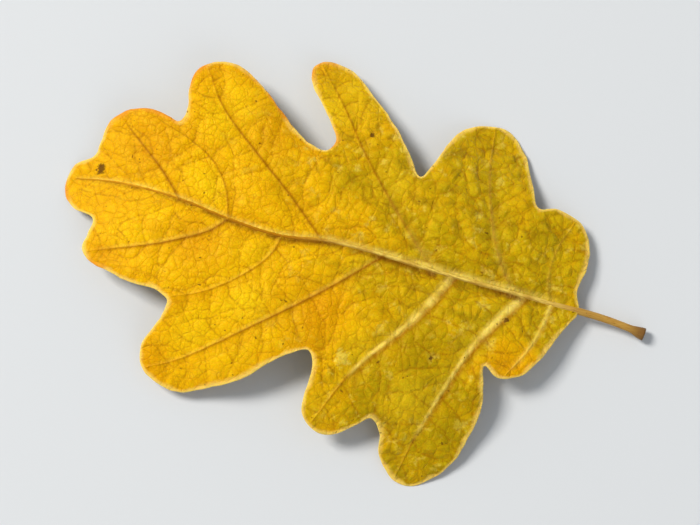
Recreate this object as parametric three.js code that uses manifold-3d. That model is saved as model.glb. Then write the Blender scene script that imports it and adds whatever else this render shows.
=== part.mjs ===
// An autumn oak leaf, as picked. Its blade, midrib, side veins and stalk grew as one piece, so they are
// one solid. Millimetres, +Z up: it lies on its underside, with the tip towards -X and the stalk towards +X.
//
// The leaf is drawn flat first. "Along" is the distance from the foot of the blade towards its tip, and
// "out" is the distance from the midrib. The far half lies towards +Y and the near half towards -Y.
// The flat leaf is then curled, set down on three of its lobes and centred.

import * as THREE from "three";
import { mergeVertices } from "three/addons/utils/BufferGeometryUtils.js";
import Module from "manifold-3d";

// Driving dimensions of the flat leaf
const bladeLength = 100;
const bladeThickness = 0.32;
const stalkLength = 16;
const stalkRadius = 0.7;
const stalkFootRadius = 1.25;
const stalkFootLength = 3.2;
const midribRadius = 0.75;
const midribTipRadius = 0.3;
const veinRadius = 0.38;
const veinTipRadius = 0.2;
const veinCover = 0.05;

// Driving dimensions of the curl: the midrib arches, the two wings of the blade rise beside it and droop
// towards their lobes, the tip bends down, and the stalk lifts towards its foot
const crownHeight = 9;
const crownAlong = 47;
const crownSpan = 72;
const wingRise = 0.13;
const wingRound = 3;
const wingDroop = 0.0072;
const tipBendStart = 72;
const tipBend = 4;
const stalkLift = 1.8;

// Each lobe curls up or down by itself, given as [along, out, reach, lift] about its end
const lobeCurls = [
  [101, 1, 9, -1.2],
  [92, 15, 8, 0.9],
  [79, 29, 10, 1.7],
  [59, 36, 11, -1.1],
  [19, 33, 12, -3.2],
  [-3, 13, 7, -0.9],
  [90, -15, 8, 0.8],
  [73, -34, 12, -1.4],
  [42, -35, 8, 1.8],
  [20, -40, 10, -0.4],
  [4, -16, 6, 0.7],
];

// The turns, in degrees, that set three lobes on the ground
const restTurnAboutLength = -0.16;
const restTurnAboutWidth = 1.22;

// How finely the solid is divided
const plateCell = 2.6;
const outlineStepsPerPoint = 3;
const rodSides = 8;
const rodStep = 3.2;

// The midrib's way from the stalk to the tip, as [along, out] points. It swings from one half to the other.
const midrib = [
  [-16, -0.6], [-8, 0.2], [2, 0.2], [24, 0], [46, 0.2], [56, -1.3], [66, -0.7], [77, 0.9], [90, 1.4], [98.2, 0.8],
];

// The margin of each half, from the tip to the foot, and its side veins, from the midrib to the margin,
// as [along, out] points that a smooth curve passes through. Each row of the margin is one lobe, and its
// last point is the notch behind it.
const farHalf = {
  lobes: [
    [[99.2, 3.3], [95.4, 5.6]],
    [[94.8, 9], [94.2, 12.4], [91.4, 15.2], [87, 16.4], [83, 15.6], [80.8, 15.4]],
    [
      [79.8, 18.4], [80.7, 22.4], [80.2, 26.4], [77.6, 29.2], [73.2, 29.7],
      [68.4, 27.4], [62, 22.2], [57, 18.3], [52, 16.9],
    ],
    [
      [50.4, 19.4], [54, 25.2], [58.4, 30.6], [59, 33.7], [56.4, 35.8], [52, 35.2],
      [46.4, 31], [40.2, 25.2], [35.6, 19.8], [33.2, 17],
    ],
    [[31.2, 20.4], [28.6, 27], [24.2, 31.4], [18.8, 31.8], [14.6, 28.2], [11.8, 22.4], [9.6, 17.6]],
    [[6, 18.4], [1.2, 17.2], [-1.8, 13.4], [-2.4, 8.6], [-1.4, 3.8]],
  ],
  veins: [
    [[76.6, 0.8], [81, 5.1], [85.5, 8.7], [91.6, 13.4]],
    [[66.4, -0.7], [68.4, 4.8], [72, 9.2], [77.2, 12.2], [83.4, 14.4]],
    [[48.2, 0], [56.6, 7], [63.5, 12.2], [73.5, 20.5], [78.2, 27]],
    [[26.4, 0], [36, 9.2], [44.4, 18.3], [51, 27], [57, 34]],
    [[10.6, 0.1], [15.6, 7.4], [18.8, 15.6], [20.6, 23.4], [21.2, 30.6]],
    [[3.4, 0.2], [4.6, 5.4], [4.2, 10.8], [2.4, 16]],
  ],
};
const nearHalf = {
  lobes: [
    [[99.2, -2.9], [96.4, -5.3], [92.3, -6.8]],
    [[92.2, -9.8], [92.2, -12.8], [89.8, -15.1], [85.4, -15.9], [80.4, -16.9], [76, -17.1], [73.2, -18.6]],
    [
      [74.4, -22.8], [76.4, -27.6], [75.4, -31.2], [71.4, -33.8], [66, -34.2],
      [58.4, -30.4], [53, -26.4], [49, -22.6], [45, -20.9],
    ],
    [[43.6, -24.4], [43.9, -29.6], [43, -33], [40.2, -35], [36.6, -34.5], [33.2, -31.8], [30.4, -29.9]],
    [
      [28.2, -32.2], [27, -36], [24.2, -39.2], [20.6, -40.1], [16.8, -38.2],
      [13.8, -34.2], [11.8, -28.4], [11, -21.6], [12.4, -15],
    ],
    [[9.6, -16.4], [6, -15.4], [3, -11.4], [0, -5]],
  ],
  veins: [
    [[66.4, -0.7], [69, -3.6], [74, -6.6], [80, -9.4], [90.6, -13]],
    [[55.6, -1.3], [56.6, -5], [60, -9.6], [67, -15.2], [72.4, -17.6]],
    [[36, 0.1], [46, -10.1], [58, -20.5], [68.5, -28.6], [73.6, -31.2]],
    [[22.6, 0], [26, -7.3], [30, -13.6], [35.4, -21.1], [41, -33.4]],
    [[8.4, 0.1], [15.4, -11.8], [18, -19], [21, -29], [23, -38.2]],
    [[2.8, 0.2], [3.6, -5], [5.2, -10], [7.8, -15]],
  ],
};
const halves = [farHalf, nearHalf];
const bladeTip = [bladeLength, 0];
const bladeFoot = [-2.6, 0];

const flatPoint = (along, out, up = 0) => new THREE.Vector3(-along, out, up);

// Smooth step from 0 to 1 as value passes from start to end
const ease = (value, start, end) => THREE.MathUtils.smoothstep(value, start, end);

// The outline of the flat blade as one smooth closed curve
function bladeShape() {
  const [far, near] = halves.map(({ lobes }) => lobes.flat().map((point) => flatPoint(...point)));
  const points = [flatPoint(...bladeTip), ...far, flatPoint(...bladeFoot), ...near.reverse()];
  const margin = new THREE.CatmullRomCurve3(points, true, "centripetal");
  const steps = points.length * outlineStepsPerPoint;
  return new THREE.Shape(margin.getPoints(steps).slice(0, steps).map(({ x, y }) => new THREE.Vector2(x, y)));
}

// A closed solid of a geometry whose shared corners are merged
const wasm = await Module();
wasm.setup();

function solidOf(geometry) {
  geometry.deleteAttribute("normal");
  geometry.deleteAttribute("uv");
  const merged = mergeVertices(geometry);
  return new wasm.Manifold(
    new wasm.Mesh({
      numProp: 3,
      vertProperties: merged.attributes.position.array,
      triVerts: new Uint32Array(merged.index.array),
    }),
  );
}

// The flat blade: a plate of small cells, cut to the outline, so that it can curl
function flatBlade() {
  const shape = bladeShape();
  const prism = new THREE.ExtrudeGeometry(shape, { depth: 4 * bladeThickness, bevelEnabled: false });
  prism.translate(0, 0, -2 * bladeThickness);
  prism.computeBoundingBox();
  const { min, max } = prism.boundingBox;
  const length = max.x - min.x + plateCell;
  const width = max.y - min.y + plateCell;
  const plate = new THREE.BoxGeometry(
    length, width, bladeThickness, Math.round(length / plateCell), Math.round(width / plateCell), 1);
  plate.translate((min.x + max.x) / 2, (min.y + max.y) / 2, 0);
  return solidOf(plate).intersect(solidOf(prism));
}

// A rod along a level path of flat points, with a round section whose top lies just under the blade's
// upper face. Its radius is given at each place along the path, by the distance from the path's start.
function rodAlong(points, radiusAt) {
  const path = new THREE.CatmullRomCurve3(points.map((point) => flatPoint(...point)), false, "centripetal");
  const length = path.getLength();
  const rod = new THREE.CylinderGeometry(1, 1, 1, rodSides, Math.ceil(length / rodStep));
  const corners = rod.attributes.position;
  const up = new THREE.Vector3(0, 0, 1);
  for (let i = 0; i < corners.count; i++) {
    const share = THREE.MathUtils.clamp(corners.getY(i) + 0.5, 0, 1);
    const radius = radiusAt(share * length, length);
    const aside = path.getTangentAt(share).cross(up).normalize();
    const corner = path.getPointAt(share).addScaledVector(aside, radius * corners.getX(i));
    corners.setXYZ(i, corner.x, corner.y, bladeThickness / 2 - veinCover + radius * (corners.getZ(i) - 1));
  }
  return solidOf(rod);
}

// The midrib and the stalk are one rod, which thickens to a foot where the leaf was held by its twig
function midribAndStalk() {
  return rodAlong(midrib, (travel, length) => {
    const foot = 1 - ease(travel, 0, stalkFootLength);
    const onBlade = Math.max(travel - stalkLength, 0) / (length - stalkLength);
    const tapered = THREE.MathUtils.lerp(midribRadius, midribTipRadius, onBlade);
    const body = THREE.MathUtils.lerp(stalkRadius, tapered, ease(travel, stalkLength - stalkFootLength, stalkLength));
    return THREE.MathUtils.lerp(body, stalkFootRadius, foot);
  });
}

// A side vein stands out of the underside and grows thinner on its way to the margin
function sideVein(points) {
  return rodAlong(points, (travel, length) => THREE.MathUtils.lerp(veinRadius, veinTipRadius, travel / length));
}

// How high the curled leaf stands at a place of the flat one
function curlHeight(along, out) {
  const crown = crownHeight * (1 - ((along - crownAlong) / crownSpan) ** 2);
  const wing = wingRise * (Math.hypot(out, wingRound) - wingRound) - wingDroop * out ** 2;
  const tip = tipBend * (Math.max(along - tipBendStart, 0) / (bladeLength - tipBendStart)) ** 2;
  const stalk = stalkLift * (Math.max(-along, 0) / stalkLength) ** 2;
  const lobes = lobeCurls.map(([atAlong, atOut, reach, lift]) =>
    lift * Math.exp(-((along - atAlong) ** 2 + (out - atOut) ** 2) / (2 * reach ** 2)));
  return lobes.reduce((sum, lift) => sum + lift, crown + wing - tip + stalk);
}

// The flat leaf, joined, curled, set down on the ground and centred over the origin
function oakLeafGeometry() {
  const veins = halves.flatMap((half) => half.veins.map(sideVein));
  const leaf = [midribAndStalk(), ...veins].reduce((joined, rod) => joined.add(rod), flatBlade());
  const { vertProperties, triVerts } = leaf.getMesh();
  const geometry = new THREE.BufferGeometry();
  geometry.setAttribute("position", new THREE.BufferAttribute(vertProperties, 3));
  geometry.setIndex(new THREE.BufferAttribute(triVerts, 1));
  const corners = geometry.attributes.position;
  for (let i = 0; i < corners.count; i++) {
    corners.setZ(i, corners.getZ(i) + curlHeight(-corners.getX(i), corners.getY(i)));
  }
  geometry.rotateX(THREE.MathUtils.degToRad(restTurnAboutLength));
  geometry.rotateY(THREE.MathUtils.degToRad(restTurnAboutWidth));
  geometry.computeBoundingBox();
  const { min, max } = geometry.boundingBox;
  geometry.translate(-(min.x + max.x) / 2, -(min.y + max.y) / 2, -min.z);
  geometry.computeVertexNormals();
  return geometry;
}

const autumnGold = new THREE.MeshStandardMaterial({ color: 0xd9a21b, roughness: 0.55, metalness: 0 });
const oakLeaf = new THREE.Mesh(oakLeafGeometry(), autumnGold);
oakLeaf.name = "oak_leaf";

const autumnLeaf = new THREE.Group();
autumnLeaf.add(oakLeaf);

export default autumnLeaf;
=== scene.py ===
# One autumn oak leaf as picked, lying on a pale floor and seen from above.
#
# The leaf is drawn flat first, in millimetres, as [along, out] points. "Along" is the distance from the
# foot of the blade towards its tip, and "out" is the distance from the straight line between the two,
# positive on the far half.
# The flat leaf is then given its relief, curled, set down and brought into the frame, in metres.

import math
import random

import bpy
import numpy as np
from mathutils import Matrix, Vector, geometry, kdtree


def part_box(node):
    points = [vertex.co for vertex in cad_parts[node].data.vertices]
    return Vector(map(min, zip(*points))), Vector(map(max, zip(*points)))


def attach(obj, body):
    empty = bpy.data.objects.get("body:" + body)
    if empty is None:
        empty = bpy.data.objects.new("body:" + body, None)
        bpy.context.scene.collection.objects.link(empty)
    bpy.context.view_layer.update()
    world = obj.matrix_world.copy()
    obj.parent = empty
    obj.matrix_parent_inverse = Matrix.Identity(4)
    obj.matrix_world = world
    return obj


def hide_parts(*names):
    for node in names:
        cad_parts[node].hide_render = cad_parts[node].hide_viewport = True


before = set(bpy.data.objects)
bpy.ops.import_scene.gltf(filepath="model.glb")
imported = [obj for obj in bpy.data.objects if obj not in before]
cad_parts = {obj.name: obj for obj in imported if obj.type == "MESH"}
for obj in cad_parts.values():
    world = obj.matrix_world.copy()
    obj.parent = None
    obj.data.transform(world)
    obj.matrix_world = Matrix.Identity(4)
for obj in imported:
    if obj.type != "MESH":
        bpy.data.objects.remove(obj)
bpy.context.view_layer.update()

MM = 0.001
NODE = "oak_leaf"

# The leaf's driving dimensions, as in the frame
BLADE_LENGTH = 100
BLADE_THICKNESS = 0.32
STALK_LENGTH = 16
STALK_RADIUS = 0.7
STALK_FOOT_RADIUS = 1.25
STALK_FOOT_LENGTH = 3.2
MIDRIB_RADIUS = 0.75
MIDRIB_TIP_RADIUS = 0.3
VEIN_RADIUS = 0.38
VEIN_TIP_RADIUS = 0.2

# Only here and not in the frame: the radius of the faint side veins, and how near the margin veins end
FAINT_VEIN_RADIUS = 0.24
VEIN_END_GAP = 0.7

# The curl, as in the frame
CROWN_HEIGHT = 9
CROWN_ALONG = 47
CROWN_SPAN = 72
WING_RISE = 0.13
WING_ROUND = 3
WING_DROOP = 0.0072
TIP_BEND_START = 72
TIP_BEND = 4
STALK_LIFT = 1.8
REST_TURN_ABOUT_LENGTH = -0.16
REST_TURN_ABOUT_WIDTH = 1.22

# Each lobe curls up or down by itself, given as [along, out, reach, lift] about its end
LOBE_CURLS = [
    [101, 1, 9, -1.2],
    [92, 15, 8, 0.9],
    [79, 29, 10, 1.7],
    [59, 36, 11, -1.1],
    [19, 33, 12, -3.2],
    [-3, 13, 7, -0.9],
    [90, -15, 8, 0.8],
    [73, -34, 12, -1.4],
    [42, -35, 8, 1.8],
    [20, -40, 10, -0.4],
    [4, -16, 6, 0.7],
]

# The midrib's way from the stalk to the tip. It swings from one half to the other.
MIDRIB = [
    [-16, -0.6], [-8, 0.2], [2, 0.2], [24, 0], [46, 0.2],
    [56, -1.3], [66, -0.7], [77, 0.9], [90, 1.4], [98.2, 0.8],
]

# The margin of each half, from the tip to the foot, one lobe after another
FAR_MARGIN = [
    [99.2, 3.3], [95.4, 5.6],
    [94.8, 9], [94.2, 12.4], [91.4, 15.2], [87, 16.4], [83, 15.6], [80.8, 15.4],
    [79.8, 18.4], [80.7, 22.4], [80.2, 26.4], [77.6, 29.2], [73.2, 29.7],
    [68.4, 27.4], [62, 22.2], [57, 18.3], [52, 16.9],
    [50.4, 19.4], [54, 25.2], [58.4, 30.6], [59, 33.7], [56.4, 35.8], [52, 35.2],
    [46.4, 31], [40.2, 25.2], [35.6, 19.8], [33.2, 17],
    [31.2, 20.4], [28.6, 27], [24.2, 31.4], [18.8, 31.8], [14.6, 28.2], [11.8, 22.4], [9.6, 17.6],
    [6, 18.4], [1.2, 17.2], [-1.8, 13.4], [-2.4, 8.6], [-1.4, 3.8],
]
NEAR_MARGIN = [
    [99.2, -2.9], [96.4, -5.3], [92.3, -6.8],
    [92.2, -9.8], [92.2, -12.8], [89.8, -15.1], [85.4, -15.9], [80.4, -16.9], [76, -17.1], [73.2, -18.6],
    [74.4, -22.8], [76.4, -27.6], [75.4, -31.2], [71.4, -33.8], [66, -34.2],
    [58.4, -30.4], [53, -26.4], [49, -22.6], [45, -20.9],
    [43.6, -24.4], [43.9, -29.6], [43, -33], [40.2, -35], [36.6, -34.5], [33.2, -31.8], [30.4, -29.9],
    [28.2, -32.2], [27, -36], [24.2, -39.2], [20.6, -40.1], [16.8, -38.2],
    [13.8, -34.2], [11.8, -28.4], [11, -21.6], [12.4, -15],
    [9.6, -16.4], [6, -15.4], [3, -11.4], [0, -5],
]
BLADE_TIP = [BLADE_LENGTH, 0]
BLADE_FOOT = [-2.6, 0]

# The side veins of both halves, from the midrib towards the margin, the bold ones and the faint ones
BOLD_VEINS = [
    [[76.6, 0.8], [81, 5.1], [85.5, 8.7], [91.6, 13.4]],
    [[48.2, 0], [56.6, 7], [63.5, 12.2], [73.5, 20.5], [78.2, 27]],
    [[26.4, 0], [36, 9.2], [44.4, 18.3], [51, 27], [57, 34]],
    [[10.6, 0.1], [15.6, 7.4], [18.8, 15.6], [20.6, 23.4], [21.2, 30.6]],
    [[66.4, -0.7], [69, -3.6], [74, -6.6], [80, -9.4], [90.6, -13]],
    [[36, 0.1], [46, -10.1], [58, -20.5], [68.5, -28.6], [73.6, -31.2]],
    [[22.6, 0], [26, -7.3], [30, -13.6], [35.4, -21.1], [41, -33.4]],
    [[8.4, 0.1], [15.4, -11.8], [18, -19], [21, -29], [23, -38.2]],
]
FAINT_VEINS = [
    [[66.4, -0.7], [68.4, 4.8], [72, 9.2], [77.2, 12.2], [83.4, 14.4]],
    [[3.4, 0.2], [4.6, 5.4], [4.2, 10.8], [2.4, 16]],
    [[55.6, -1.3], [56.6, -5], [60, -9.6], [67, -15.2], [72.4, -17.6]],
    [[2.8, 0.2], [3.6, -5], [5.2, -10], [7.8, -15]],
]

# How finely the curves and the surface are divided
CURVE_STEP = 0.2
MARGIN_STEP = 0.4
VEIN_ROW_STEP = 0.4
LATTICE_STEP = 0.52
ROD_SIDES = 20

# The fine veins that join the side veins like rungs, in mm, and how they turn and slant, in degrees
FINE_VEIN_SEED = 11
FINE_VEIN_SPACING = 4.2
FINE_VEIN_STEP = 0.4
FINE_VEIN_LONGEST = 17
FINE_VEIN_RADIUS = 0.14
FINE_VEIN_WANDER = 9
FINE_SLANT_ON_MIDRIB = 52
FINE_SLANT_ON_SIDE = 66
FINE_SLANT_SPREAD = 6

# Relief of the blade: it sinks along its veins, swells between the fine ones, and its faces show them
VALLEY_DEPTH_AT_TIP = 0.55
VALLEY_DEPTH_AT_FOOT = 0.95
VALLEY_WIDTH = 2.4
PUCKER_HEIGHT = 0.24
PUCKER_WIDTH = 1.1
FINE_RIDGE = 0.1
FINE_GROOVE = 0.07
SIDE_RIDGE_UP = 0.12
MIDRIB_PROUD = 0.18
MARGIN_WAVE = 0.4
MARGIN_UNEVENNESS = 0.17
EDGE_ROUND = 0.35
EDGE_BULGE = 0.06
RIDGE_REACH = 1.7

# The soft noises that make the margin uneven, the blade swell and the margin wave, as [size, height, seed].
# The blade's heights are in mm, and the margin's are shares of MARGIN_UNEVENNESS and MARGIN_WAVE.
MARGIN_SWELLS = [[7, 1.5, 20], [3.2, 1, 21], [1.3, 0.5, 22]]
BLADE_SWELLS = [[9, 0.25, 31], [4, 0.08, 32]]
MARGIN_WAVES = [[6.5, 1, 33]]

# The rows of points that the blade's mesh is made of, and how far each new point keeps from those before
# it: rows inside the margin, as [depth, gap], rows beside the veins, in half widths for the midrib and
# the side veins and in mm for the fine ones, and a lattice. None of them comes nearer the margin than
# MARGIN_GAP.
MARGIN_ROWS = [[0.16, 0.12], [0.42, 0.2]]
MIDRIB_ROWS = [-1.7, -0.95, 0, 0.95, 1.7]
MIDRIB_ROW_GAP = 0.2
SIDE_VEIN_ROWS = [-1.7, -0.9, 0, 0.9, 1.7]
SIDE_VEIN_ROW_GAP = 0.16
FINE_VEIN_ROWS = [-0.3, 0, 0.3]
FINE_VEIN_ROW_GAP = 0.24
LATTICE_GAP = 0.3
MARGIN_GAP = 0.1

# The kinds of finish, by their place among the leaf's materials
UPPER, UNDER, STALK = range(3)


def linear(red, green, blue):
    """A colour given as it looks on a screen, from 0 to 255, as the shader's own numbers."""
    shares = [value / 255 for value in (red, green, blue)]
    curved = [share / 12.92 if share <= 0.04045 else ((share + 0.055) / 1.055) ** 2.4 for share in shares]
    return curved + [1]


# The colours of the upper face from gold to olive, of its veins, rim and marks, with the painted highlight
# of
# # pale veins and rim and the painted shadow of the midrib's seam, and then of the underside and the stalk
GOLD = linear(241, 182, 4)
BRIGHT_YELLOW = linear(252, 196, 4)
DEEP_GOLD = linear(226, 160, 2)
OLIVE = linear(206, 172, 10)
DARK_OLIVE = linear(172, 145, 4)
ISLAND_YELLOW = linear(255, 206, 12)
ISLAND_OLIVE = linear(224, 190, 24)
VEIN_BROWN = linear(156, 92, 4)
SEAM_BROWN_AND_SHADOW = linear(112, 60, 6)
MIDRIB_BROWN = linear(184, 120, 8)
MIDRIB_GOLD = linear(206, 140, 6)
PALE_VEIN_AND_HIGHLIGHT = linear(255, 224, 104)
RIM_ORANGE = linear(232, 150, 44)
RIM_PALE_HIGHLIGHT = linear(255, 214, 104)
SPOT_BROWN = linear(96, 56, 14)
FLECK_PALE = linear(238, 210, 80)
BLOTCH_BROWN = linear(156, 122, 8)
UNDER_GOLD = linear(214, 172, 66)
UNDER_PALE = linear(226, 196, 120)
STALK_TAN = linear(190, 146, 70)
STALK_BROWN = linear(116, 78, 44)

# The tint of the gloss, and how far red, green and blue light spread under the surface
SHEEN_GOLD = (1, 0.75, 0.15, 1)
GLOW_REACH = (1, 0.6, 0.1)

# Patches that are riper, brighter or duller than the rest, as [along, out, reach, strength]
RIPE_PATCHES = [[8, -13.5, 6, 1], [43, -13, 5, 0.9], [20, 26, 5, 0.45]]
BRIGHT_PATCHES = [
    [66, -24, 7, 0.75], [60, -15, 5, 1], [71, 4, 4, 1], [72, 20, 5, 1], [60, -6, 4, 0.5],
    [52, 27, 6, 1], [38, 14, 4, 0.7], [25, -25, 5, 0.7], [36, -18, 5, 0.7], [42, -31, 4, 0.7],
]
DULL_PATCHES = [
    [62, 16, 5, 0.7], [86, 10, 7, 0.8], [45, 8, 5, 0.3], [45, -13, 6, 1],
    [26, -15, 5, 0.9], [17, -28, 4, 0.8], [34, -9, 4, 0.35], [72, -6, 5, 0.9],
    [88, -13, 3, 1], [74, -31, 4, 0.9], [9, -14, 4, 0.7], [90, -2, 5, 0.4],
]

# Brown spots and one pale patch on the flat leaf, as [place, radius]
SPOTS = [[(93.3, 3.5), 1], [(44, 22.5), 0.55], [(22.5, -16.5), 0.6], [(10.5, -5.5), 0.5]]
PALE_PATCH = [(38.7, -20.5), 1.7]

# How wide the small and the wide cells of the finest veins' net are, in mm, and how high the net, the
# grain of the upper face and the streaks of the stalk stand, in metres
NET_CELL = 0.9
WIDE_NET_CELL = 2.1
NET_RELIEF = 0.00006
GRAIN_RELIEF = 0.00004
STREAK_RELIEF = 0.00008

# How the leaf takes light: its gloss, how much light goes in, and how deep, in metres
SATIN_GLOSS = 0.22
DRY_GLOSS = 0.35
GLOW_SHARE = 0.3
GLOW_DEPTH = 0.0005

# The floor, the sky, and the lights, each as [name, place, size, power, colour], in metres and watts
FLOOR_SIZE = 12
FLOOR_COLOUR = (0.7, 0.72, 0.74, 1)
FLOOR_ROUGHNESS = 0.8
SKY_COLOUR = (0.9, 0.95, 1, 1)
SKY_AT_HORIZON = 0.8
SKY_OVERHEAD = 0.34
SKY_HORIZON_BAND = 0.4
LIGHTS = [
    ["key_light", (-1.5, 0.42, 1.76), 0.75, 51, (1, 0.97, 0.92)],
    ["fill_light", (1.35, -1.5, 1.5), 1.8, 8, (0.94, 0.97, 1)],
]

# The camera: where it stands, in degrees, its lens in mm, and how wide a view it takes in, in metres
CAMERA_AZIMUTH = 15
CAMERA_ELEVATION = 80
CAMERA_LENS = 85
FRAME_WIDTH = 0.134


def ease(value, start, end):
    """Smooth step from 0 to 1 as value passes from start to end."""
    share = np.clip((value - start) / (end - start), 0, 1)
    return share * share * (3 - 2 * share)


def soft_noise(points, size, seed):
    """Smooth noise from -1 to 1 over the flat leaf, with swells about size mm apart."""
    cells = 64
    table = np.random.default_rng(seed).uniform(-1, 1, (cells, cells))
    place = np.asarray(points) / size + 10 * cells
    corner = np.floor(place).astype(int)
    i, j = (corner % cells).T
    u, v = ease(place - corner, 0, 1).T
    i_next, j_next = (i + 1) % cells, (j + 1) % cells
    low = table[i, j] * (1 - u) + table[i_next, j] * u
    high = table[i, j_next] * (1 - u) + table[i_next, j_next] * u
    return low * (1 - v) + high * v


def swells(points, kinds):
    """The sum of several soft noises over the flat leaf, each given as [size, height, seed]."""
    return sum(height * soft_noise(points, size, seed) for size, height, seed in kinds)


def smooth_path(points, step, closed=False):
    """Points about step apart on the centripetal Catmull-Rom curve through the given ones."""
    points = np.array(points, float)
    if closed:
        points = np.vstack([points[-1], points, points[:2]])
    else:
        points = np.vstack([2 * points[0] - points[1], points, 2 * points[-1] - points[-2]])
    share = np.linspace(0, 1, 24, endpoint=False)[:, None]
    spans = []
    for before, start, end, after in zip(points, points[1:], points[2:], points[3:]):
        t0, t1, t2 = (math.sqrt(math.dist(a, b)) for a, b in ((before, start), (start, end), (end, after)))
        leave = t1 * ((start - before) / t0 - (end - before) / (t0 + t1) + (end - start) / t1)
        arrive = t1 * ((end - start) / t1 - (after - start) / (t1 + t2) + (after - end) / t2)
        spans.append(
            start + leave * share
            + (3 * (end - start) - 2 * leave - arrive) * share**2
            + (2 * (start - end) + leave + arrive) * share**3
        )
    curve = np.vstack(spans + [points[-2]])
    travel = np.concatenate([[0], np.cumsum(np.hypot(*np.diff(curve, axis=0).T))])
    stops = np.linspace(0, travel[-1], max(2, round(travel[-1] / step)) + 1)
    if closed:
        stops = stops[:-1]
    return np.column_stack([np.interp(stops, travel, curve[:, axis]) for axis in (0, 1)])


class Lines:
    """Curves drawn on the flat leaf, as close-set points that know their direction and half width."""

    def __init__(self, paths, half_widths):
        self.points = np.vstack(paths)
        self.ahead = np.vstack([np.gradient(path, axis=0) for path in paths])
        self.ahead /= np.hypot(*self.ahead.T)[:, None]
        self.half = np.concatenate(half_widths)
        self.tree = kdtree.KDTree(len(self.points))
        for number, (along, out) in enumerate(self.points):
            self.tree.insert((along, out, 0), number)
        self.tree.balance()

    def nearest(self, points):
        """For each point: the number of the nearest place on the curves, the distance, and how far left."""
        number = np.array([self.tree.find((along, out, 0))[1] for along, out in points])
        reach = points - self.points[number]
        forward = np.sum(reach * self.ahead[number], axis=1)
        left = self.ahead[number, 0] * reach[:, 1] - self.ahead[number, 1] * reach[:, 0]
        abreast = np.abs(forward) <= CURVE_STEP
        return number, np.where(abreast, np.abs(left), np.hypot(forward, left)), left


def margin_path():
    """The blade's outline, with the small unevenness of a grown edge."""
    outline = [BLADE_TIP] + FAR_MARGIN + [BLADE_FOOT] + NEAR_MARGIN[::-1]
    smooth = smooth_path(outline, CURVE_STEP, closed=True)
    ahead = np.roll(smooth, -1, axis=0) - np.roll(smooth, 1, axis=0)
    ahead /= np.hypot(*ahead.T)[:, None]
    outward = np.column_stack([ahead[:, 1], -ahead[:, 0]])
    return smooth + MARGIN_UNEVENNESS * swells(smooth, MARGIN_SWELLS)[:, None] * outward


def rod_radius(along):
    """The radius of the midrib and stalk, which thicken to a foot where the twig held the leaf."""
    tapered = MIDRIB_RADIUS + (MIDRIB_TIP_RADIUS - MIDRIB_RADIUS) * np.clip(along / BLADE_LENGTH, 0, 1)
    body = STALK_RADIUS + (tapered - STALK_RADIUS) * ease(along, -STALK_FOOT_LENGTH, 0)
    foot = 1 - ease(along, -STALK_LENGTH, STALK_FOOT_LENGTH - STALK_LENGTH)
    fading = 1 - 0.6 * ease(along, 0.86 * BLADE_LENGTH, BLADE_LENGTH)
    return (body + (STALK_FOOT_RADIUS - body) * foot) * fading


def tapered_widths(paths, start, end):
    """Half widths that shrink evenly from the start to the end of each path."""
    return [np.linspace(start, end, len(path)) for path in paths]


def fine_vein(start, ahead, margin, taken, own, parent, dice):
    """One fine vein: it wanders until it meets another, comes near the margin or is at its longest."""
    path = [start]
    place = np.array(start)
    heading = ahead
    while len(path) * FINE_VEIN_STEP < FINE_VEIN_LONGEST:
        heading += math.radians(dice.gauss(0, FINE_VEIN_WANDER))
        place = place + FINE_VEIN_STEP * np.array([math.cos(heading), math.sin(heading)])
        path.append(tuple(place))
        inside = margin.nearest(place[None])[2][0]
        met = taken.get(vein_cell(place), own)
        if inside < VEIN_END_GAP or (met != own and (met != parent or len(path) > 5)):
            break
    return path


def grown_to_margin(path, margin):
    """The vein's path, carried straight on until it comes near the margin."""
    ahead = path[-1] - path[-2]
    path = list(path)
    while margin.nearest(path[-1][None])[2][0] > VEIN_END_GAP:
        path.append(path[-1] + ahead)
    return np.array(path)


def vein_widths(path, start):
    """The half width of a side vein along its path. It narrows evenly, and thins out at its end."""
    share = np.linspace(0, 1, len(path))
    narrowing = (VEIN_TIP_RADIUS - VEIN_RADIUS) * share * start / VEIN_RADIUS
    return (start + narrowing) * (1 - 0.7 * ease(share, 0.8, 1))


def vein_cell(place):
    """The small cell of the flat leaf that a place lies in."""
    size = 1.5 * FINE_VEIN_STEP
    return int(place[0] // size), int(place[1] // size)


def fine_vein_paths(main_paths, margin):
    """Fine veins that leave each main vein on both sides and run across to the next one."""
    dice = random.Random(FINE_VEIN_SEED)
    taken = {vein_cell(place): number for number, path in enumerate(main_paths) for place in path}
    paths = []
    for parent, path in enumerate(main_paths):
        slant = FINE_SLANT_ON_MIDRIB if parent == 0 else FINE_SLANT_ON_SIDE
        gap = round(FINE_VEIN_SPACING / CURVE_STEP)
        for side in (-1, 1):
            stop = dice.randint(gap // 3, gap)
            while stop < len(path) - gap // 3:
                ahead = path[min(stop + 1, len(path) - 1)] - path[stop - 1]
                turn = side * math.radians(dice.gauss(slant, FINE_SLANT_SPREAD))
                heading = math.atan2(ahead[1], ahead[0]) + turn
                own = len(main_paths) + len(paths)
                if path[stop][0] > 1:
                    grown = fine_vein(tuple(path[stop]), heading, margin, taken, own, parent, dice)
                    if len(grown) > 4:
                        taken.update((vein_cell(place), own) for place in grown[2:-1])
                        paths.append(np.array(grown))
                stop += round(gap * dice.uniform(0.75, 1.3))
    return paths


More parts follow.
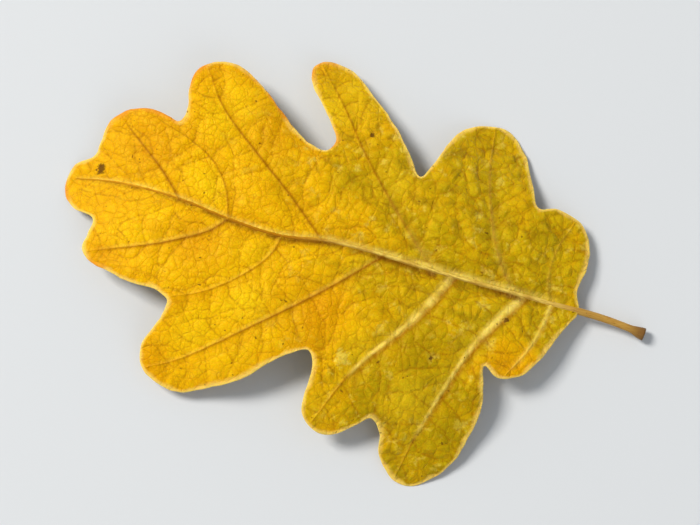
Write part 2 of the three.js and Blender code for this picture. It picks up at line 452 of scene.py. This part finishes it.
# The curves of the flat leaf that the surface follows
margin_line = margin_path()
margin = Lines([margin_line], [np.zeros(len(margin_line))])
midrib_path = smooth_path(MIDRIB, CURVE_STEP)
side_paths = [grown_to_margin(smooth_path(path, CURVE_STEP), margin) for path in BOLD_VEINS + FAINT_VEINS]
side_starts = [VEIN_RADIUS] * len(BOLD_VEINS) + [FAINT_VEIN_RADIUS] * len(FAINT_VEINS)
side_widths = [vein_widths(path, start) for path, start in zip(side_paths, side_starts)]
midrib = Lines([midrib_path], [rod_radius(midrib_path[:, 0])])
side_veins = Lines(side_paths, side_widths)
fine_paths = fine_vein_paths([midrib_path] + side_paths, margin)
fine_veins = Lines(fine_paths, tapered_widths(fine_paths, FINE_VEIN_RADIUS, FINE_VEIN_RADIUS / 2))


def near_foot(along):
    """1 at the blade's foot end, where it is less ripe and more folded, falling to 0 towards its tip."""
    return 1 - ease(along, 14, 70)


def curl_height(points):
    """How high the curled leaf stands at each place of the flat one."""
    along, out = np.asarray(points).T
    height = CROWN_HEIGHT * (1 - ((along - CROWN_ALONG) / CROWN_SPAN) ** 2)
    height += WING_RISE * (np.hypot(out, WING_ROUND) - WING_ROUND) - WING_DROOP * out**2
    height -= TIP_BEND * (np.maximum(along - TIP_BEND_START, 0) / (BLADE_LENGTH - TIP_BEND_START)) ** 2
    height += STALK_LIFT * (np.maximum(-along, 0) / STALK_LENGTH) ** 2
    for at_along, at_out, reach, lift in LOBE_CURLS:
        height += lift * np.exp(-((along - at_along) ** 2 + (out - at_out) ** 2) / (2 * reach**2))
    return height


def middle_height(points):
    """The height of the blade's middle: its curl, sunken along veins and swollen between the fine ones."""
    _, from_midrib, _ = midrib.nearest(points)
    near_side, from_side, _ = side_veins.nearest(points)
    _, from_fine, _ = fine_veins.nearest(points)
    _, _, inside = margin.nearest(points)
    strength = side_veins.half[near_side] / VEIN_RADIUS
    valley = np.exp(-((from_midrib / VALLEY_WIDTH) ** 2))
    valley = np.maximum(valley, strength * np.exp(-((from_side / VALLEY_WIDTH) ** 2)))
    on_blade = ease(inside, 0, 2.5)
    pucker = (1 - np.exp(-((from_fine / PUCKER_WIDTH) ** 2))) * ease(from_midrib, 0.5, 3) * on_blade
    wave = MARGIN_WAVE * swells(points, MARGIN_WAVES) * (1 - ease(inside, 0, 6))
    depth = VALLEY_DEPTH_AT_TIP + (VALLEY_DEPTH_AT_FOOT - VALLEY_DEPTH_AT_TIP) * near_foot(points[:, 0])
    swell = (swells(points, BLADE_SWELLS) + wave) * ease(from_midrib, 0, 5)
    relief = PUCKER_HEIGHT * pucker + swell - depth * valley * on_blade
    return curl_height(points) + relief * ease(points[:, 0], -3, 6)


def ridge(distance, half_width):
    """A round-backed ridge of height 1 over a vein of that half width."""
    return 1 - ease(distance, 0, RIDGE_REACH * half_width)


def face_heights(points):
    """The heights of the blade's upper and lower face."""
    near_side, from_side, _ = side_veins.nearest(points)
    near_fine, from_fine, _ = fine_veins.nearest(points)
    _, _, inside = margin.nearest(points)
    middle = middle_height(points)
    half = BLADE_THICKNESS / 2 * (0.5 + 0.5 * ease(inside, 0, EDGE_ROUND))
    side = ridge(from_side, side_veins.half[near_side])
    fine = ridge(from_fine, fine_veins.half[near_fine] * 1.6)
    depth = 2 * side_veins.half[near_side] - BLADE_THICKNESS + 0.05
    inner = ease(inside, 0.2, 1.2)
    upper = middle + half + (SIDE_RIDGE_UP * side - FINE_GROOVE * fine) * inner
    lower = middle - half - np.maximum(depth * side, FINE_RIDGE * fine) * inner
    return upper, lower


def beside(paths, half_widths, shares):
    """Rows of points beside each path, at the given shares of its half width."""
    rows = []
    for path, half in zip(paths, half_widths):
        pick = slice(0, None, round(VEIN_ROW_STEP / CURVE_STEP))
        ahead = np.gradient(path, axis=0)[pick]
        ahead /= np.hypot(*ahead.T)[:, None]
        aside = np.column_stack([-ahead[:, 1], ahead[:, 0]])
        rows += [path[pick] + share * half[pick, None] * aside for share in shares]
    return np.vstack(rows)


def lattice():
    """Points in even triangles all over the leaf's extent."""
    low, high = margin_line.min(axis=0), margin_line.max(axis=0)
    row_step = LATTICE_STEP * math.sqrt(3) / 2
    rows = []
    for row, out in enumerate(np.arange(low[1], high[1], row_step)):
        along = np.arange(low[0] + LATTICE_STEP / 2 * (row % 2), high[0], LATTICE_STEP)
        rows.append(np.column_stack([along, np.full(len(along), out)]))
    return np.vstack(rows)


def clear_of(points, kept, gap):
    """The points that lie inside the margin and at least gap from those kept so far."""
    tree = kdtree.KDTree(len(kept))
    for number, (along, out) in enumerate(kept):
        tree.insert((along, out, 0), number)
    tree.balance()
    spaced = np.array([tree.find((along, out, 0))[2] >= gap for along, out in points])
    points = points[spaced]
    return points[margin.nearest(points)[2] > MARGIN_GAP]


def blade_points():
    """The blade's points, the margin's first, and how many lie on the margin."""
    every = round(MARGIN_STEP / CURVE_STEP)
    kept = margin_line[::every]
    ahead = margin.ahead[::every]
    inward = np.column_stack([-ahead[:, 1], ahead[:, 0]])
    rim = len(kept)
    groups = [(kept + depth * inward, gap) for depth, gap in MARGIN_ROWS]
    groups += [
        (beside([midrib_path], [midrib.half], MIDRIB_ROWS), MIDRIB_ROW_GAP),
        (beside(side_paths, side_widths, SIDE_VEIN_ROWS), SIDE_VEIN_ROW_GAP),
        (beside(fine_paths, tapered_widths(fine_paths, 1, 1), FINE_VEIN_ROWS), FINE_VEIN_ROW_GAP),
        (lattice(), LATTICE_GAP),
    ]
    for points, gap in groups:
        kept = np.vstack([kept, clear_of(points, kept, gap)])
    return kept, rim


def mesh_object(name, points, faces, kinds):
    """A smooth-shaded object from points in mm, faces, and the kind of finish that each face has."""
    mesh = bpy.data.meshes.new(name)
    mesh.from_pydata(points.tolist(), [], faces)
    mesh.shade_smooth()
    for material in finishes:
        mesh.materials.append(material)
    mesh.polygons.foreach_set("material_index", kinds)
    piece = bpy.data.objects.new(name, mesh)
    bpy.context.scene.collection.objects.link(piece)
    return piece


def inside_outline(triangles, rim):
    """The triangles without those outside the outline, whose points come first and run clockwise."""
    a, b, c = triangles.T
    rising = (a < b) & (b < c) | (b < c) & (c < a) | (c < a) & (a < b)
    outside = rising & (triangles < rim).all(axis=1)
    return triangles[~outside]


def blade_object():
    """The blade: an upper and a lower face over the same points, joined by a rounded rim."""
    flat, rim = blade_points()
    places = [Vector((-along, out)) for along, out in flat]
    made = geometry.delaunay_2d_cdt(places, [], [list(range(rim))], 0, 1e-6, False)
    plan = np.array(made[0])
    triangles = inside_outline(np.array(made[2]), rim)
    flat = plan * [-1, 1]
    upper, lower = face_heights(flat)
    edges = np.vstack([triangles[:, [0, 1]], triangles[:, [1, 2]], triangles[:, [2, 0]]])
    code = edges[:, 0] * len(flat) + edges[:, 1]
    back = edges[:, 1] * len(flat) + edges[:, 0]
    border = edges[~np.isin(code, back)]
    run = plan[border[:, 1]] - plan[border[:, 0]]
    outward = np.zeros_like(plan)
    for end in (0, 1):
        np.add.at(outward, border[:, end], np.column_stack([run[:, 1], -run[:, 0]]))
    starts = border[:, 0]
    outward = outward[starts] / np.hypot(*outward[starts].T)[:, None]
    brink = np.column_stack([plan[starts] + EDGE_BULGE * outward, (upper[starts] + lower[starts]) / 2])
    count = len(flat)
    brink_number = np.zeros(count, int)
    brink_number[starts] = 2 * count + np.arange(len(starts))
    a, b = border.T
    rim_faces = [
        np.column_stack([a, brink_number[a], b]),
        np.column_stack([b, brink_number[a], brink_number[b]]),
        np.column_stack([brink_number[a], a + count, brink_number[b]]),
        np.column_stack([brink_number[b], a + count, b + count]),
    ]
    points = np.vstack([np.column_stack([plan, upper]), np.column_stack([plan, lower]), brink])
    upper_faces = np.vstack([triangles, *rim_faces[:2]])
    lower_faces = np.vstack([triangles[:, ::-1] + count, *rim_faces[2:]])
    kinds = [UPPER] * len(upper_faces) + [UNDER] * len(lower_faces)
    return mesh_object("leaf_blade", points, upper_faces.tolist() + lower_faces.tolist(), kinds)


def rod_object():
    """The midrib and stalk as one round rod, proud of the blade's upper face and bold beneath it."""
    path = midrib_path[::2]
    ahead = np.gradient(path, axis=0)
    ahead /= np.hypot(*ahead.T)[:, None]
    along = path[:, 0]
    radius = rod_radius(along)
    proud = MIDRIB_PROUD * (1 - 0.75 * ease(along, 0, BLADE_LENGTH))
    top = middle_height(path) + BLADE_THICKNESS / 2 + proud
    angles = np.linspace(0, 2 * math.pi, ROD_SIDES, endpoint=False)
    rings = []
    for place, forward, size, height in zip(path, ahead, radius, top):
        aside = size * np.sin(angles)
        plan = place + aside[:, None] * np.array([-forward[1], forward[0]])
        rings.append(np.column_stack([-plan[:, 0], plan[:, 1], height + size * (np.cos(angles) - 1)]))
    count = len(path)
    last = (count - 1) * ROD_SIDES
    faces = [list(range(ROD_SIDES))[::-1], [last + side for side in range(ROD_SIDES)]]
    for here in range(0, last, ROD_SIDES):
        for side in range(ROD_SIDES):
            turn = (side + 1) % ROD_SIDES
            faces.append([here + side, here + turn, here + ROD_SIDES + turn, here + ROD_SIDES + side])
    return mesh_object("leaf_rod", np.vstack(rings), faces, [STALK] * len(faces))


def joined(first, second):
    """The union of two closed objects, as the first one's new mesh. The second one goes."""
    union = first.modifiers.new("union", "BOOLEAN")
    union.operation = "UNION"
    union.solver = "MANIFOLD"
    union.object = second
    view = bpy.context.evaluated_depsgraph_get()
    first.data = bpy.data.meshes.new_from_object(first.evaluated_get(view))
    first.modifiers.clear()
    bpy.data.objects.remove(second)
    return first


def vertex_places(mesh):
    """The mesh's vertices as rows of x, y and z."""
    places = np.empty(3 * len(mesh.vertices), np.float32)
    mesh.vertices.foreach_get("co", places)
    return places.reshape(-1, 3).astype(float)


def write_attribute(mesh, name, values):
    """One number for each vertex, under a name that the materials read."""
    mesh.attributes.new(name, "FLOAT", "POINT").data.foreach_set("value", values.astype(np.float32))


def band(distance, centre, half_width):
    """1 at that distance, falling softly to 0 on both sides of it."""
    return np.exp(-(((distance - centre) / half_width) ** 2))


def in_patches(flat, patches):
    """How strongly each place lies in one of the patches, from 0 to 1."""
    along, out = flat.T
    shares = [
        strength * band(np.hypot(along - at_along, out - at_out), 0, reach)
        for at_along, at_out, reach, strength in patches
    ]
    return np.max(shares, axis=0)


def vein_looks(flat):
    """How veins and patches show at each place of the flat leaf, with their painted highlights and shade,
    by the names that the materials read.
    """
    along, out = flat.T
    midrib_at, from_midrib, left_of_midrib = midrib.nearest(flat)
    side_at, from_side, left_of_side = side_veins.nearest(flat)
    fine_at, from_fine, _ = fine_veins.nearest(flat)
    side_half = side_veins.half[side_at]
    midrib_half = midrib.half[midrib_at]
    towards_foot = near_foot(along)
    on_blade = ease(along, -2, 12)
    pale_share = (1 - ease(along + 0.9 * out, 24, 33)) * (1 - ease(along - 2.1 * out, 78, 90))
    pale_share = np.where(out < 0, pale_share, 0.15 * (1 - ease(along, 26, 44)))
    strength = np.clip(1.25 * side_half / VEIN_RADIUS, 0, 1)
    pale_width = side_half * (2 - 0.7 * ease(np.abs(out), 5, 18))
    pale_crest = ridge(from_side, pale_width) * strength * pale_share
    # Painted highlight: the midrib's lit far flank, and a lit line on the tip side of the near half's
    # veins, both put into the pale veins.
    lit_flank = band(from_midrib, 1.1 * midrib_half, 0.6 * midrib_half) * (left_of_midrib > 0) * on_blade
    on_foot_side = left_of_side * np.sign(out) > 0
    lit_line = band(from_side, 1.4 * side_half, 0.9 * side_half) * ~on_foot_side * (out < 0) * strength
    pale = np.maximum(pale_crest, lit_flank * (0.5 + 0.4 * towards_foot))
    pale = np.maximum(pale, 0.18 * lit_line)
    # A wide painted highlight on the tip side of the near half's veins, put into the bright patches.
    lit_side = band(from_side, 5 * side_half, 4 * side_half) * ~on_foot_side * (out < 0) * strength
    dark_crest = ridge(from_side, 0.9 * side_half) * strength * (1 - pale_share)
    dark_crest *= 1 - 0.4 * towards_foot * (out > 0)
    # Painted shade on the foot side of the pale veins, put into the dark veins.
    shaded = band(from_side, 2.5 * side_half, 1.7 * side_half) * on_foot_side * strength * pale_share
    at_fork = band(from_side, 0, 3) * (out < 1)
    # A dark seam along the midrib's near side: partly its brown line, partly the painted shadow of the
    # proud midrib, faint on its far side.
    brown_seam_and_shadow = band(from_midrib, 1.05 * midrib_half, 0.95 * midrib_half) * np.where(left_of_midrib < 0, 1, 0.1)
    brown_seam_and_shadow *= (1 - 0.35 * ease(along, 45, 90)) * (0.75 + 0.25 * at_fork)
    # Painted shade beside the midrib and side veins, stronger on the veins' foot side.
    shade_beside_veins = band(np.minimum(from_midrib, from_side), 0, 2.3) * np.where(on_foot_side, 1, 0.4)
    return {
        "pale_vein_and_highlight": pale,
        "dark_vein_and_shade": np.maximum(dark_crest, 0.8 * shaded),
        "brown_seam_and_shadow": brown_seam_and_shadow * on_blade,
        "dull_and_shade": np.maximum(0.6 * shade_beside_veins * on_blade, in_patches(flat, DULL_PATCHES)),
        "bright_and_lit": np.maximum(0.5 * lit_side, in_patches(flat, BRIGHT_PATCHES)),
        "fine_vein": ridge(from_fine, 1.3 * fine_veins.half[fine_at]),
    }


def write_looks(mesh):
    """Writes down what the materials need to know of each place on the leaf."""
    flat = vertex_places(mesh)[:, :2] * [-1, 1]
    along, out = flat.T
    coordinates = np.column_stack([flat, np.zeros(len(flat))]).astype(np.float32)
    mesh.attributes.new("flat", "FLOAT_VECTOR", "POINT").data.foreach_set("vector", coordinates.ravel())
    for name, values in vein_looks(flat).items():
        write_attribute(mesh, name, values)
    write_attribute(mesh, "inside", margin.nearest(flat)[2])
    normals = np.empty(3 * len(mesh.vertices), np.float32)
    mesh.vertex_normals.foreach_get("vector", normals)
    write_attribute(mesh, "facing_up", np.clip(normals[2::3], 0, 1))
    far_side = 0.25 * ease(out, 2, 14) * (1 - ease(along, 50, 90))
    olive = near_foot(along) + far_side - in_patches(flat, RIPE_PATCHES)
    write_attribute(mesh, "olive", np.clip(olive, 0, 1))


def laid_down(mesh):
    """Turns the leaf onto the lobes it rests on and brings it, in metres, to its place in the frame."""
    turn = Matrix.Rotation(math.radians(REST_TURN_ABOUT_WIDTH), 4, "Y")
    mesh.transform(turn @ Matrix.Rotation(math.radians(REST_TURN_ABOUT_LENGTH), 4, "X"))
    mesh.transform(Matrix.Scale(MM, 4))
    places = vertex_places(mesh)
    low, high = places.min(axis=0), places.max(axis=0)
    frame_low, frame_high = (np.array(corner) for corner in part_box(NODE))
    shift = (frame_low + frame_high - low - high) / 2
    shift[2] = frame_low[2] - low[2]
    mesh.transform(Matrix.Translation(shift))


class Finish:
    """A material or sky with one shader, and short ways to work out what feeds it."""

    def __init__(self, owner, shader="Principled BSDF"):
        self.owner = owner
        owner.use_nodes = True
        self.nodes = owner.node_tree.nodes
        self.shader = self.nodes[shader]

    def feed(self, socket, value):
        """Links the value to the socket, or sets it there if it is plain."""
        if isinstance(value, bpy.types.NodeSocket):
            self.owner.node_tree.links.new(value, socket)
        else:
            socket.default_value = value

    def set(self, **values):
        """Feeds the shader's inputs, each by its name with _ for a space."""
        for name, value in values.items():
            self.feed(self.shader.inputs[name.replace("_", " ")], value)

    def node(self, kind, inputs, **settings):
        """A node with its settings and inputs, each input by its name or number."""
        made = self.nodes.new(kind)
        for name, value in settings.items():
            setattr(made, name, value)
        for key, value in inputs.items():
            self.feed(made.inputs[key], value)
        return made

    def attribute(self, name):
        """A vertex attribute's number."""
        return self.node("ShaderNodeAttribute", {}, attribute_name=name).outputs["Fac"]

    def flat(self):
        """The place on the flat leaf, in mm."""
        return self.node("ShaderNodeAttribute", {}, attribute_name="flat").outputs["Vector"]

    def part(self, vector, axis):
        """One of a vector's numbers."""
        return self.node("ShaderNodeSeparateXYZ", {0: vector}).outputs[axis]

    def blot(self, place, radius):
        """1 on a ragged spot of that radius around a place on the flat leaf, and 0 off it."""
        away = self.node("ShaderNodeVectorMath", {0: self.flat(), 1: (*place, 0)}, operation="DISTANCE")
        ragged = self.spread(self.noise(0.8, shift=350), 0.2, 0.8, -0.7 * radius, 0.7 * radius)
        distance = self.math("ADD", away.outputs["Value"], ragged)
        return self.spread(distance, 0.5 * radius, 1.15 * radius, 1, 0)

    def times(self, first, second):
        """The product of two numbers."""
        return self.math("MULTIPLY", first, second)

    def math(self, operation, *values):
        """The result of one operation on numbers."""
        return self.node("ShaderNodeMath", dict(enumerate(values)), operation=operation).outputs[0]

    def noise(self, size, detail=3, roughness=0.5, shift=0):
        """Noise around 0.5, with swells about size mm apart."""
        inputs = {"Vector": self.shifted(shift), "Scale": 1 / size}
        inputs |= {"Detail": detail, "Roughness": roughness}
        return self.node("ShaderNodeTexNoise", inputs).outputs["Fac"]

    def shifted(self, shift):
        """The place on the flat leaf, moved so that one noise doesn't repeat another."""
        inputs = {0: self.flat(), 1: (shift, -shift, shift)}
        return self.node("ShaderNodeVectorMath", inputs, operation="ADD").outputs[0]

    def cell_edges(self, size, shift=0):
        """The distance to the nearest edge of cells about size mm across, as a share of size."""
        inputs = {"Vector": self.shifted(shift), "Scale": 1 / size}
        return self.node("ShaderNodeTexVoronoi", inputs, feature="DISTANCE_TO_EDGE").outputs["Distance"]

    def spread(self, value, low, high, to_low=0, to_high=1):
        """The value, eased from the span of low to high into that of to_low to to_high."""
        inputs = {"Value": value, 1: low, 2: high, 3: to_low, 4: to_high}
        return self.node("ShaderNodeMapRange", inputs, interpolation_type="SMOOTHSTEP").outputs[0]

    def mix(self, share, first, second):
        """A colour between two others."""
        made = self.nodes.new("ShaderNodeMix")
        made.data_type = "RGBA"
        for socket, value in zip((made.inputs[0], made.inputs[6], made.inputs[7]), (share, first, second)):
            self.feed(socket, value)
        return made.outputs[2]

    def bump(self, height, distance, normal=None):
        """Relief from a height, distance metres high where it is 1."""
        inputs = {"Height": height, "Distance": distance, "Strength": 1}
        if normal:
            inputs["Normal"] = normal
        return self.node("ShaderNodeBump", inputs).outputs["Normal"]


def blade_colour(finish):
    """The gold of the upper face: clouds, olive towards the foot, and mottling, before its veins."""
    colour = finish.mix(finish.spread(finish.noise(14), 0.35, 0.65), GOLD, BRIGHT_YELLOW)
    colour = finish.mix(finish.spread(finish.noise(7, shift=40), 0.5, 0.75, 0, 0.6), colour, DEEP_GOLD)
    colour = finish.mix(finish.spread(finish.attribute("inside"), 0.5, 6, 0.5, 0), colour, DEEP_GOLD)
    uneven = finish.spread(finish.noise(9, shift=90), 0.3, 0.7, -0.3, 0.3)
    patchy = finish.math("ADD", finish.attribute("olive"), uneven)
    near_lobes = finish.spread(finish.part(finish.flat(), "Y"), -24, -10, 0.12, 0)
    clouds = finish.math("ADD", finish.noise(5, shift=130), near_lobes)
    olive = finish.mix(finish.spread(clouds, 0.4, 0.7), OLIVE, DARK_OLIVE)
    colour = finish.mix(finish.spread(patchy, 0.1, 1.1, 0, 0.95), colour, olive)
    mottle = finish.spread(finish.noise(1.6, detail=4, roughness=0.65, shift=200), 0.45, 0.75, 0, 0.55)
    return finish.mix(mottle, colour, DEEP_GOLD)


def with_flecks(finish, colour):
    """The blade's colour with dark blotches and pale flecks, most of them where it is less ripe."""
    unripe = finish.spread(finish.attribute("olive"), 0, 0.6, 0.15, 1)
    blotches = finish.spread(finish.noise(2.8, detail=2, shift=560), 0.5, 0.68, 0, 0.6)
    colour = finish.mix(finish.times(blotches, unripe), colour, BLOTCH_BROWN)
    flecks = finish.spread(finish.noise(2.3, detail=3, roughness=0.6, shift=480), 0.56, 0.72, 0, 0.7)
    return finish.mix(finish.times(flecks, unripe), colour, FLECK_PALE)


def with_veins(finish, colour, net, wide_net, islands):
    """The blade's colour with all its veins, from their finest net to the midrib's brown seam and painted
    shadow, with painted highlights and shade beside them.
    """
    # Bright cell centres and patches, with the painted highlight beside the near half's veins.
    brightest_and_lit = finish.mix(finish.attribute("olive"), ISLAND_YELLOW, ISLAND_OLIVE)
    colour = finish.mix(finish.math("MAXIMUM", islands, finish.attribute("bright_and_lit")), colour, brightest_and_lit)
    # Duller patches, and the painted shade beside the veins.
    dullest_and_shade = finish.mix(finish.attribute("olive"), DEEP_GOLD, DARK_OLIVE)
    colour = finish.mix(finish.attribute("dull_and_shade"), colour, dullest_and_shade)
    patchy = finish.spread(finish.noise(6, shift=450), 0.3, 0.7, 0.06, 0.24)
    fresh = finish.spread(finish.attribute("olive"), 0, 1, 1, 0.6)
    fine_net = finish.times(net, finish.times(patchy, fresh))
    colour = finish.mix(fine_net, colour, VEIN_BROWN)
    colour = finish.mix(finish.times(wide_net, 0.2), colour, VEIN_BROWN)
    colour = finish.mix(finish.times(finish.attribute("fine_vein"), 0.42), colour, VEIN_BROWN)
    # Dark veins, with the painted shade on the foot side of the pale ones.
    colour = finish.mix(finish.times(finish.attribute("dark_vein_and_shade"), 0.9), colour, VEIN_BROWN)
    broken = finish.spread(finish.noise(2.4, shift=640), 0.34, 0.6, 0.4, 0.95)
    # Pale veins near the foot, with the painted highlight of the midrib's lit flank and of lit lines beside
    # the veins.
    colour = finish.mix(finish.times(finish.attribute("pale_vein_and_highlight"), broken), colour, PALE_VEIN_AND_HIGHLIGHT)
    uneven = finish.spread(finish.noise(3, shift=520), 0.35, 0.6, 0.45, 1)
    # The midrib's brown seam, with its painted shadow on the near side.
    return finish.mix(finish.times(finish.attribute("brown_seam_and_shadow"), uneven), colour, SEAM_BROWN_AND_SHADOW)


def with_marks(finish, colour):
    """The colour with a pale patch, a dry rim with a pale painted highlight along it, and what age leaves:
    brown spots and specks.
    """
    colour = finish.mix(finish.times(finish.blot(*PALE_PATCH), 0.65), colour, FLECK_PALE)
    # A thin rim along the margin: orange where it is dry, and elsewhere a pale painted highlight.
    side = finish.spread(finish.part(finish.flat(), "Y"), -12, 12, -0.15, 0.1)
    side = finish.math("SUBTRACT", side, finish.times(finish.attribute("olive"), 0.5))
    kind = finish.spread(finish.math("SUBTRACT", finish.noise(11, shift=300), side), 0.42, 0.58)
    width = finish.spread(finish.noise(4, shift=330), 0.3, 0.7, 0.45, 1.35)
    rim = finish.spread(finish.math("DIVIDE", finish.attribute("inside"), width), 0, 1, 0.9, 0)
    colour = finish.mix(rim, colour, finish.mix(kind, RIM_ORANGE, RIM_PALE_HIGHLIGHT))
    brown = finish.spread(finish.noise(1.1, detail=1, shift=370), 0.74, 0.8, 0, 0.7)
    for place, radius in SPOTS:
        brown = finish.math("MAXIMUM", brown, finish.times(finish.blot(place, radius), 0.9))
    return finish.mix(brown, colour, SPOT_BROWN)


def upper_finish():
    """The upper face: satin gold to olive, with dark veins, pale ones near the foot, a fine net, and
    painted highlight and shade beside the veins and midrib.
    """
    finish = Finish(bpy.data.materials.new("leaf_upper"))
    net = finish.spread(finish.cell_edges(NET_CELL), 0, 0.16, 1, 0)
    wide_cells = finish.cell_edges(WIDE_NET_CELL, shift=17)
    wide_net = finish.spread(wide_cells, 0, 0.09, 1, 0)
    islands = finish.spread(wide_cells, 0.12, 0.42, 0, 0.45)
    colour = with_flecks(finish, blade_colour(finish))
    colour = with_marks(finish, with_veins(finish, colour, net, wide_net, islands))
    grain = finish.bump(finish.noise(0.35, detail=2, shift=430), GRAIN_RELIEF)
    sunk = finish.times(finish.math("ADD", net, wide_net), -0.6)
    quilted = finish.spread(wide_cells, 0, 0.34)
    quilted = finish.times(quilted, finish.spread(finish.attribute("olive"), 0, 0.8, 1, 2.2))
    finish.set(
        Base_Color=colour,
        Roughness=finish.spread(finish.noise(2.5, shift=400), 0.3, 0.7, 0.38, 0.54),
        Normal=finish.bump(finish.math("ADD", sunk, quilted), NET_RELIEF, grain),
        Specular_IOR_Level=SATIN_GLOSS,
        Specular_Tint=SHEEN_GOLD,
        Subsurface_Weight=GLOW_SHARE,
        Subsurface_Radius=GLOW_REACH,
        Subsurface_Scale=GLOW_DEPTH,
    )
    return finish.owner


def under_finish():
    """The underside: paler and matt, with its veins standing out."""
    finish = Finish(bpy.data.materials.new("leaf_underside"))
    net = finish.spread(finish.cell_edges(NET_CELL), 0, 0.2, 1, 0)
    colour = finish.mix(finish.spread(finish.noise(9, shift=500), 0.35, 0.65), UNDER_GOLD, UNDER_PALE)
    colour = finish.mix(finish.times(finish.attribute("olive"), 0.35), colour, OLIVE)
    colour = finish.mix(finish.times(net, 0.3), colour, UNDER_PALE)
    colour = finish.mix(finish.times(finish.attribute("fine_vein"), 0.5), colour, UNDER_PALE)
    vein = finish.math("MAXIMUM", finish.attribute("pale_vein_and_highlight"), finish.attribute("dark_vein_and_shade"))
    colour = finish.mix(finish.times(vein, 0.6), colour, PALE_VEIN_AND_HIGHLIGHT)
    colour = finish.mix(finish.spread(finish.attribute("inside"), 0, 0.8, 0.5, 0), colour, RIM_ORANGE)
    raised = finish.math("ADD", net, finish.times(finish.noise(0.4, detail=2, shift=530), 0.7))
    finish.set(
        Base_Color=colour,
        Roughness=finish.spread(finish.noise(2), 0.3, 0.7, 0.62, 0.78),
        Normal=finish.bump(raised, NET_RELIEF),
        Specular_IOR_Level=DRY_GLOSS,
        Subsurface_Weight=GLOW_SHARE,
        Subsurface_Radius=GLOW_REACH,
        Subsurface_Scale=GLOW_DEPTH,
    )
    return finish.owner


def stalk_finish():
    """The midrib, pale with brown breaks and brown on top towards the tip, with a brown seam and painted
    shadow on its near flank, and the tan stalk.
    """
    finish = Finish(bpy.data.materials.new("leaf_stalk"))
    along = finish.part(finish.flat(), "X")
    stretch = {0: finish.flat(), 1: (0.35, 4, 1)}
    drawn_out = finish.node("ShaderNodeVectorMath", stretch, operation="MULTIPLY")
    inputs = {"Vector": drawn_out.outputs[0], "Scale": 1.4, "Detail": 3}
    streak = finish.node("ShaderNodeTexNoise", inputs).outputs["Fac"]
    facing_up = finish.attribute("facing_up")
    ripe = finish.times(finish.spread(along, 36, 56), finish.spread(facing_up, 0, 0.5))
    turned = finish.mix(finish.spread(along, 60, 92), MIDRIB_BROWN, MIDRIB_GOLD)
    broken = finish.spread(finish.noise(2.4, shift=640), 0.34, 0.6, 0.5, 0)
    pale = finish.mix(broken, PALE_VEIN_AND_HIGHLIGHT, MIDRIB_BROWN)
    colour = finish.mix(ripe, pale, turned)
    colour = finish.mix(finish.spread(along, -6, 12, 1, 0), colour, STALK_TAN)
    colour = finish.mix(finish.spread(streak, 0.45, 0.7, 0, 0.6), colour, VEIN_BROWN)
    specks = finish.spread(finish.noise(0.5, detail=1, shift=610), 0.68, 0.74, 0, 0.6)
    on_stalk = finish.spread(along, -4, 1, 1, 0)
    colour = finish.mix(finish.times(specks, on_stalk), colour, STALK_BROWN)
    # The brown seam and painted shadow on the rod's near flank, where it faces up.
    shaded = finish.times(finish.attribute("brown_seam_and_shadow"), finish.spread(facing_up, 0.1, 0.6))
    colour = finish.mix(shaded, colour, SEAM_BROWN_AND_SHADOW)
    foot_top = STALK_FOOT_LENGTH - STALK_LENGTH
    colour = finish.mix(finish.spread(along, -STALK_LENGTH, foot_top + 1.5, 0.9, 0), colour, STALK_BROWN)
    finish.set(
        Base_Color=colour,
        Roughness=finish.spread(streak, 0.3, 0.7, 0.45, 0.62),
        Normal=finish.bump(streak, STREAK_RELIEF),
        Specular_IOR_Level=DRY_GLOSS,
        Specular_Tint=SHEEN_GOLD,
    )
    return finish.owner


def floor_object():
    """The plain pale floor that the leaf lies on."""
    bpy.ops.mesh.primitive_plane_add(size=FLOOR_SIZE)
    floor = bpy.context.object
    floor.name = "floor"
    finish = Finish(bpy.data.materials.new("floor"))
    finish.set(Base_Color=FLOOR_COLOUR, Roughness=FLOOR_ROUGHNESS)
    floor.data.materials.append(finish.owner)


def soft_light(name, place, size, power, colour):
    """A square lamp that faces the leaf."""
    lamp = bpy.data.lights.new(name, "AREA")
    lamp.size = size
    lamp.energy = power
    lamp.color = colour
    holder = bpy.data.objects.new(name, lamp)
    holder.location = place
    holder.rotation_euler = (-Vector(place)).to_track_quat("-Z", "Y").to_euler()
    bpy.context.scene.collection.objects.link(holder)


def studio():
    """Soft light from beyond the tip, a weaker one from the near side, and a pale sky."""
    for light in LIGHTS:
        soft_light(*light)
    sky = Finish(bpy.data.worlds.new("sky"), "Background")
    upward = sky.part(sky.node("ShaderNodeTexCoord", {}).outputs["Generated"], "Z")
    brightness = sky.spread(upward, 0, SKY_HORIZON_BAND, SKY_AT_HORIZON, SKY_OVERHEAD)
    sky.set(Color=SKY_COLOUR, Strength=brightness)
    bpy.context.scene.world = sky.owner
    bpy.context.scene.view_settings.view_transform = "Standard"


def look_down():
    """A long lens that looks down on the leaf as the photograph does."""
    low, high = (Vector(corner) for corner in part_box(NODE))
    centre = (low + high) / 2
    azimuth, elevation = math.radians(CAMERA_AZIMUTH), math.radians(CAMERA_ELEVATION)
    level = math.cos(elevation)
    back = Vector((math.sin(azimuth) * level, -math.cos(azimuth) * level, math.sin(elevation)))
    camera = bpy.data.cameras.new("camera")
    camera.lens = CAMERA_LENS
    distance = FRAME_WIDTH * CAMERA_LENS / camera.sensor_width
    holder = bpy.data.objects.new("camera", camera)
    holder.location = centre + back * distance
    holder.rotation_euler = (-back).to_track_quat("-Z", "Y").to_euler()
    bpy.context.scene.collection.objects.link(holder)
    bpy.context.scene.camera = holder


def autumn_leaf():
    """The whole leaf, with its finishes, standing for the frame's plain one."""
    leaf = joined(blade_object(), rod_object())
    leaf.name = "autumn_leaf"
    write_looks(leaf.data)
    laid_down(leaf.data)
    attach(leaf, "root")
    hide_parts(NODE)
    return leaf


finishes = [upper_finish(), under_finish(), stalk_finish()]
autumn_leaf()
floor_object()
studio()
look_down()
